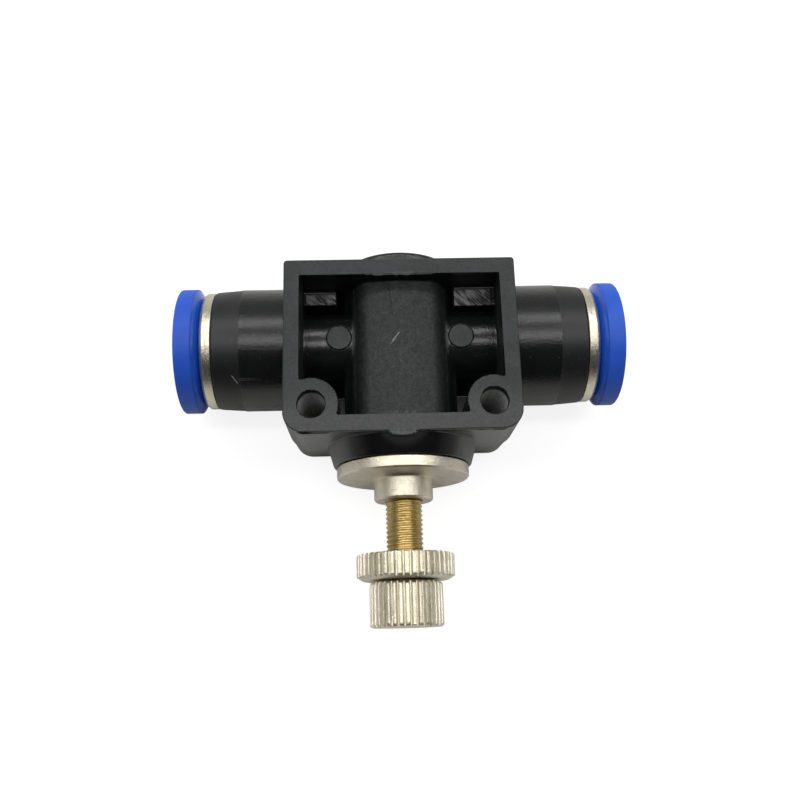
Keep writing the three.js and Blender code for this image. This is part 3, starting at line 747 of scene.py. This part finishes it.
# ------------------------------------------------------------------ tube fittings
SEG = 160
for side, tag in ((-1, "left"), (1, "right")):
    ring = revolve(
        "guide_ring_turned_" + tag,
        rounded(
            [(7.9, 25.2), (9.0, 25.2), (9.0, 30.8), (9.88, 30.8), (9.9, 31.0), (9.9, 32.1), (9.6, 32.55), (9.5, 32.55), (8.76, 32.02), (8.76, 31.2), (7.36, 31.2), (7.36, 29.61), (7.9, 29.61)],
            [0.1, 0.15, 0, 0.05, 0.05, 0.3, 0.04, 0.04, 0.05, 0.05, 0.1, 0.05, 0],
            4,
        ),
        "x", side, SEG,
    )
    place(ring, "guide_ring_" + tag, "valve", M["nickel"])

    sleeve = revolve(
        "release_sleeve_moulded_" + tag,
        rounded(
            [(6.15, 26.0), (6.6, 26.0), (7.15, 27.2), (7.6, 28.3), (7.6, 28.9), (7.15, 28.9), (7.15, 32.12), (8.38, 32.12), (8.38, 32.66),
             (10.58, 33.88), (10.58, 36.58), (6.9, 36.58), (6.15, 35.85)],
            [0.15, 0.15, 0.3, 0.1, 0.08, 0.1, 0.1, 0.1, 0.1, 0.1, 0.28, 0.25, 0.3],
            5,
        ),
        "x", side, SEG,
    )
    place(sleeve, "release_sleeve_" + tag, "release_" + tag, M["release_plastic"])

    seal = revolve(
        "tube_seal_rubber_" + tag,
        rounded([(6.7, 19.5), (8.04, 19.5), (8.04, 22.84), (7.5, 22.84), (7.2, 22.2), (6.9, 22.84), (6.6, 22.84), (5.96, 21.7), (5.96, 20.9)],
                [0.3, 0.3, 0.25, 0.1, 0.15, 0.1, 0.1, 0.3, 0.3], 5),
        "x", side, SEG,
    )
    place(seal, "tube_seal_" + tag, "valve", M["rubber"])

    seat = revolve(
        "claw_seat_moulded_" + tag,
        rounded([(6.3, 22.96), (8.94, 22.96), (8.94, 24.69), (7.95, 24.69), (6.3, 23.6)], [0.15, 0.2, 0.12, 0.12, 0.12], 4),
        "x", side, SEG,
    )
    place(seat, "claw_seat_" + tag, "valve", M["seat_plastic"])

    # grip ring: flat rim with twelve bent claws, each a strip of sheet between two slots
    claws, seg, per = 12, 12 * 16, 16
    prof_in = [(8.94, 24.78), (7.75, 24.78), (6.9, 24.32), (6.1, 23.88)]
    prof_out = [(6.1, 24.16), (6.9, 24.6), (7.75, 25.06), (8.94, 25.06)]
    verts, faces = [], []

    def at(r, s, t):
        return (side * s, r * math.cos(t), AZ + r * math.sin(t))

    half = 0.34  # half of a slot's width
    for c in range(claws):
        t0, t1 = PI2 * c / claws, PI2 * (c + 1) / claws
        base = len(verts)
        rows = []
        for r, s in prof_in + prof_out:
            slot_angle = half / r if r < 7.8 else 0.0
            rows.append([(r, s, t0 + slot_angle + (t1 - t0 - 2 * slot_angle) * q / per) for q in range(per + 1)])
        for row in rows:
            verts += [at(*v) for v in row]
        w = per + 1
        nrow = len(rows)
        for i in range(nrow):
            k = (i + 1) % nrow
            for q in range(per):
                faces.append((base + i * w + q, base + i * w + q + 1, base + k * w + q + 1, base + k * w + q))
        # side walls of the claw, where the slots are
        for q in (0, per):
            faces.append(tuple(base + i * w + q for i in (1, 2, 5, 6)))
            faces.append(tuple(base + i * w + q for i in (2, 3, 4, 5)))
    grip = new_object("grip_ring_pressed_" + tag, verts, faces)
    place(grip, "grip_ring_" + tag, "valve", M["steel"])

# ------------------------------------------------------------------ needle housing, seat and seals
housing = revolve(
    "needle_housing_turned",
    rounded(
        [(3.08, -26.62), (4.55, -26.62), (4.83, -26.35), (4.83, -23.2), (4.9, -23.1), (5.55, -22.98), (5.8, -22.93), (10.7, -22.93), (10.9, -22.7), (10.9, -21.15),
         (10.75, -20.98), (7.72, -20.98), (7.72, -11.0), (6.2, -11.0), (6.2, -8.8), (7.72, -8.8), (7.72, -5.2), (5.6, -5.2), (5.6, -1.05), (3.95, -1.05),
         (3.95, -16.5), (3.08, -16.5)],
        [0.12, 0.06, 0.1, 0.12, 0.15, 0.1, 0.05, 0.06, 0.12, 0.1, 0.05, 0.1, 0.2, 0.1, 0.1, 0.2, 0.15, 0.1, 0.12, 0.1, 0.1, 0.1],
        3,
    ),
    "y", 1, SEG,
)
for k in range(2):
    drill = revolve("drill", [(0, -9), (1.1, -9), (1.1, 9), (0, 9)], "y", 1, 32)
    drill.data.transform(Matrix.Translation((0, -0.0031, AZ * 0.001)) @ Matrix.Rotation(math.pi / 2, 4, "X" if k else "Z") @ Matrix.Translation((0, 0, -AZ * 0.001)))
    mod = housing.modifiers.new("window", "BOOLEAN")
    mod.operation = "DIFFERENCE"
    mod.solver = "EXACT"
    mod.object = drill
    apply_modifiers(housing)
    bpy.data.objects.remove(drill)
housing.data.set_sharp_from_angle(angle=math.radians(32))
place(housing, "needle_housing", "valve", M["nickel"])


def o_ring(name, R, y, r, node, body):
    prof = [(R + r * math.cos(PI2 * i / 24), y + r * math.sin(PI2 * i / 24)) for i in range(24)]
    return place(revolve(name, prof, "y", 1, SEG), node, body, M["rubber"])


o_ring("housing_o_ring_rubber", 7.0, -9.9, 0.73, "housing_o_ring", "valve")
o_ring("needle_o_ring_rubber", 3.26, -13.6, 0.6, "needle_o_ring", "needle_carrier")
place(
    revolve(
        "seat_sleeve_turned",
        rounded([(2.35, -2.0), (3.9, -2.0), (3.9, -1.0), (5.6, -1.0), (5.6, -0.75), (4.6, -0.75), (4.6, 0.85), (6.3, 0.85), (6.3, 1.6), (2.9, 1.6), (2.35, 1.0)],
                [0.08, 0.15, 0.08, 0.08, 0.08, 0.05, 0.05, 0.1, 0.2, 0.05, 0.2], 4),
        "y", 1, SEG,
    ),
    "seat_sleeve", "valve", M["brass"],
)
place(
    revolve(
        "check_seal_rubber",
        rounded([(4.65, -0.68), (5.7, -0.68), (7.75, 0.45), (7.75, 0.85), (6.4, 0.35), (5.9, 0.78), (4.65, 0.78)],
                [0.15, 0.2, 0.1, 0.08, 0.2, 0.1, 0.1], 4),
        "y", 1, SEG,
    ),
    "check_seal", "valve", M["rubber"],
)

# ------------------------------------------------------------------ needle spindle with its real thread
PITCH, R_MAJOR, DEPTH = 0.75, 2.985, 0.26
PER, COLS = ((14, 72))
Y_A, Y_B = -39.5, -17.2  # thread from the knob to the shoulder's relief


def thread_radius(phase, y):
    """Rounded V: phase 0 is the crest."""
    w = np.abs((phase + 0.5) % 1.0 - 0.5) * 2  # 0 at crest, 1 at root
    t = np.clip((w - 0.22) / 0.62, 0, 1)
    t = t * t * (3 - 2 * t) * 0.35 + t * 0.65
    r = R_MAJOR - DEPTH * t
    lim = R_MAJOR - DEPTH + 0.9 * np.minimum(y - Y_A, Y_B - y)
    return np.minimum(r, np.maximum(lim, R_MAJOR - DEPTH))


turns = int(math.ceil((Y_B - Y_A) / PITCH)) + 2
rows = turns * PER
i = np.arange(-PER, rows + 1)
jj = np.arange(COLS)
y0 = Y_A + (i[:, None] / PER + jj[None, :] / COLS - 1) * PITCH
yc = np.clip(y0, Y_A, Y_B)
rr = thread_radius((i[:, None] / PER) % 1.0 + 0 * y0, yc)
rr = np.where((y0 <= Y_A) | (y0 >= Y_B), R_MAJOR - DEPTH, rr)
th = -PI2 * jj / COLS
verts = np.stack([rr * np.cos(th), yc, AZ + rr * np.sin(th)], -1).reshape(-1, 3)
faces = []
nr = len(i)
for a in range(nr - 1):
    for b in range(COLS):
        if b < COLS - 1:
            q = (a * COLS + b, (a + 1) * COLS + b, (a + 1) * COLS + b + 1, a * COLS + b + 1)
        else:
            if a + 1 + PER >= nr:
                continue
            q = (a * COLS + b, (a + 1) * COLS + b, (a + 1 + PER) * COLS, (a + PER) * COLS)
        ys = [verts[k][1] for k in q]
        if max(ys) - min(ys) < 1e-9:
            continue
        faces.append(q)
bm = bmesh.new()
vs = [bm.verts.new(v) for v in verts]
for q in faces:
    try:
        bm.faces.new([vs[k] for k in q])
    except ValueError:
        pass
bmesh.ops.remove_doubles(bm, verts=bm.verts, dist=1e-5)
bmesh.ops.dissolve_degenerate(bm, edges=bm.edges, dist=1e-5)
loose = [v for v in bm.verts if not v.link_faces]
bmesh.ops.delete(bm, geom=loose, context="VERTS")


def end_ring(bm, y):
    return sorted((v for v in bm.verts if abs(v.co.y - y) < 1e-6 and any(e.is_boundary for e in v.link_edges)), key=lambda v: math.atan2(v.co.z - AZ, v.co.x))


def extend(bm, ring, stations):
    """Carries a ring on through (radius, y) stations and closes it on the axis."""
    prev = ring
    for r, y in stations:
        if r < 1e-9:
            tip = bm.verts.new((0, y, AZ))
            for a in range(len(prev)):
                bm.faces.new((prev[a], prev[(a + 1) % len(prev)], tip))
            return
        cur = []
        for v in prev:
            t = math.atan2(v.co.z - AZ, v.co.x)
            cur.append(bm.verts.new((r * math.cos(t), y, AZ + r * math.sin(t))))
        for a in range(len(prev)):
            b = (a + 1) % len(prev)
            bm.faces.new((prev[a], prev[b], cur[b], cur[a]))
        prev = cur


extend(bm, end_ring(bm, Y_A), [(2.2, -39.5), (2.2, -46.3), (2.14, -46.42), (2.0, -46.5), (0, -46.5)])
extend(
    bm, end_ring(bm, Y_B),
    [(2.645, -16.75), (2.7, -16.5), (3.55, -16.45), (3.7, -16.38), (3.75, -16.2), (3.75, -14.75), (3.68, -14.62), (3.55, -14.6), (2.72, -14.6), (2.63, -14.5),
     (2.63, -12.7), (2.72, -12.6), (3.55, -12.6), (3.7, -12.53), (3.75, -12.4), (3.75, -11.4), (3.68, -11.25), (3.5, -11.2), (2.4, -11.2), (2.26, -11.05),
     (2.25, -10.9), (2.25, -5.8), (2.22, -5.6), (2.1, -5.28), (0.95, -1.55), (0.7, -1.28), (0.45, -1.21), (0, -1.2)],
)
bmesh.ops.recalc_face_normals(bm, faces=bm.faces)
if bm.calc_volume(signed=True) < 0:
    bmesh.ops.reverse_faces(bm, faces=bm.faces)
for v in bm.verts:
    v.co *= 0.001
me = bpy.data.meshes.new("needle_spindle_threaded")
bm.to_mesh(me)
bm.free()
me.shade_smooth()
me.set_sharp_from_angle(angle=math.radians(38))
spindle = bpy.data.objects.new("needle_spindle_threaded", me)
scene.collection.objects.link(spindle)
place(spindle, "needle_spindle", "spindle", M["brass"])


# ------------------------------------------------------------------ knurled knob and lock nut
def knurl(teeth, tip, root, seed, ridge=0.5):
    rng = np.random.RandomState(seed)
    off = rng.uniform(-0.03, 0.03, teeth)
    high = rng.uniform(-0.03, 0.02, teeth)

    def radius(r, station, th):
        t = th / PI2 * teeth
        k = np.floor(t).astype(int) % teeth
        w = np.abs((t % 1.0) - 0.5 - off[k]) * 2  # 0 mid ridge, 1 mid groove
        g = np.clip((w - ridge) / (0.86 - ridge), 0, 1)
        crown = 0.03 * np.clip(w / ridge, 0, 1) ** 2
        rk = tip + high[k] - crown - (tip - root - 0.03) * g
        rk = rk + 0.012 * np.sin(station * 9.0 + 5.0 * k) * (1 - g)
        return np.minimum(r, rk) if r > root - 1.2 else np.full_like(th, r)

    return radius


def stations(points, step=0.12):
    """Adds points along the long sides of a closed profile."""
    out = []
    for a in range(len(points)):
        p, q = np.array(points[a], float), np.array(points[(a + 1) % len(points)], float)
        n = 1
        if min(p[0], q[0]) > 4.0:
            n = max(1, int(math.ceil(np.linalg.norm(q - p) / step)))
        out += [tuple(p + (q - p) * t / n) for t in range(n)]
    return out


K_TEETH, N_TEETH = 34, 42
PER_TOOTH = 16
knob = revolve(
    "adjusting_knob_knurled",
    stations([(2.26, -46.45), (2.5, -46.65), (5.35, -46.65), (5.75, -46.5), (5.91, -46.3), (5.91, -40.1), (5.6, -39.7), (5.2, -39.56), (2.26, -39.56)], 0.35),
    "y", 1, K_TEETH * PER_TOOTH, knurl(K_TEETH, 5.90, 5.42, 5), 40.0,
)
place(knob, "adjusting_knob", "spindle", M["nickel"])
nut = revolve(
    "lock_nut_knurled",
    stations([(3.08, -39.1), (3.3, -39.35), (6.9, -39.35), (7.15, -39.22), (7.93, -38.72), (7.93, -35.5), (7.75, -35.32), (7.4, -35.3), (3.3, -35.3), (3.08, -35.5)], 0.14),
    "y", 1, N_TEETH * PER_TOOTH, knurl(N_TEETH, 7.92, 7.38, 8), 40.0,
)
place(nut, "lock_nut", "lock_nut", M["nickel"])

# ------------------------------------------------------------------ stage and light
floor_me = bpy.data.meshes.new("floor")
floor_me.from_pydata([(-3, -3, -0.00003), (3, -3, -0.00003), (3, 3, -0.00003), (-3, 3, -0.00003)], [], [(0, 1, 2, 3)])
floor = bpy.data.objects.new("floor", floor_me)
scene.collection.objects.link(floor)
fm = bpy.data.materials.new("floor")
fm.use_nodes = True
ft = fm.node_tree
fb = ft.nodes["Principled BSDF"]
fb.inputs["Base Color"].default_value = (0.80, 0.795, 0.77, 1)
fb.inputs["Roughness"].default_value = 0.85
fb.inputs["Specular IOR Level"].default_value = 0.2
# seen directly the sheet is blown out to white, with only a trace of shadow
fe = ft.nodes.new("ShaderNodeEmission")
fe.inputs["Color"].default_value = (1, 1, 1, 1)
fe.inputs["Strength"].default_value = 0.86
fd = ft.nodes.new("ShaderNodeBsdfDiffuse")
fd.inputs["Color"].default_value = (0.3, 0.3, 0.3, 1)
fa = ft.nodes.new("ShaderNodeAddShader")
ft.links.new(fe.outputs[0], fa.inputs[0])
ft.links.new(fd.outputs[0], fa.inputs[1])
fl = ft.nodes.new("ShaderNodeLightPath")
fx = ft.nodes.new("ShaderNodeMixShader")
ft.links.new(fl.outputs["Is Camera Ray"], fx.inputs[0])
ft.links.new(fb.outputs[0], fx.inputs[1])
ft.links.new(fa.outputs[0], fx.inputs[2])
ft.links.new(fx.outputs[0], ft.nodes["Material Output"].inputs[0])
floor_me.materials.append(fm)


def area(name, size_x, size_y, power, where, aim, color=(1, 1, 1)):
    data = bpy.data.lights.new(name, "AREA")
    data.shape = "RECTANGLE"
    data.size, data.size_y = size_x, size_y
    data.energy = power
    data.color = color
    ob = bpy.data.objects.new(name, data)
    scene.collection.objects.link(ob)
    ob.location = where
    ob.rotation_euler = (Vector(aim) - Vector(where)).to_track_quat("-Z", "Y").to_euler()
    return ob


area("key_overhead", 1.5, 0.09, 2.9, (0.0, 0.012, 0.75), (0, 0, 0.012))
area("key_far", 1.5, 0.09, 3.0, (0.0, 0.42, 0.63), (0, 0, 0.012))

world = bpy.data.worlds.new("world")
scene.world = world
world.use_nodes = True
wt = world.node_tree
wt.nodes.clear()
wo = wt.nodes.new("ShaderNodeOutputWorld")
bg = wt.nodes.new("ShaderNodeBackground")
tc = wt.nodes.new("ShaderNodeTexCoord")
sp = wt.nodes.new("ShaderNodeSeparateXYZ")
wt.links.new(tc.outputs["Generated"], sp.inputs[0])


def wnode(op, a, b=0.0, c=0.0):
    n = wt.nodes.new("ShaderNodeMath")
    n.operation = op
    for i, v in enumerate((a, b, c)):
        if hasattr(v, "is_output"):
            wt.links.new(v, n.inputs[i])
        else:
            n.inputs[i].default_value = v
    return n.outputs[0]


def wramp(v, a, b, lo, hi):
    n = wt.nodes.new("ShaderNodeMapRange")
    n.interpolation_type = "SMOOTHSTEP"
    wt.links.new(v, n.inputs["Value"])
    for k, val in (("From Min", a), ("From Max", b), ("To Min", lo), ("To Max", hi)):
        n.inputs[k].default_value = val
    return n.outputs[0]


# brightness by the angle from straight up, tilted towards -Y or +Y
phi = wnode("ARCTAN2", sp.outputs[1], sp.outputs[2])
sky = wramp(sp.outputs[2], 0.0, 0.9, 0.42, 0.48)
gap = wramp(phi, -0.1, -0.26, 0.0, 1.0)
gap = wnode("MULTIPLY", gap, wramp(wnode("ABSOLUTE", sp.outputs[0]), 0.75, 0.95, 1.0, 0.3))
level = wnode("MULTIPLY", sky, wnode("SUBTRACT", 1.0, wnode("MULTIPLY", gap, 0.92)))
lp = wt.nodes.new("ShaderNodeLightPath")
mx = wt.nodes.new("ShaderNodeMix")
wt.links.new(lp.outputs["Is Camera Ray"], mx.inputs[0])
wt.links.new(level, mx.inputs[2])
mx.inputs[3].default_value = 1.0
wt.links.new(mx.outputs[0], bg.inputs["Strength"])
bg.inputs["Color"].default_value = (1, 1, 1, 1)
wt.links.new(bg.outputs[0], wo.inputs[0])

scene.view_settings.view_transform = "Standard"
scene.view_settings.look = "None"
scene.view_settings.exposure = 0.0
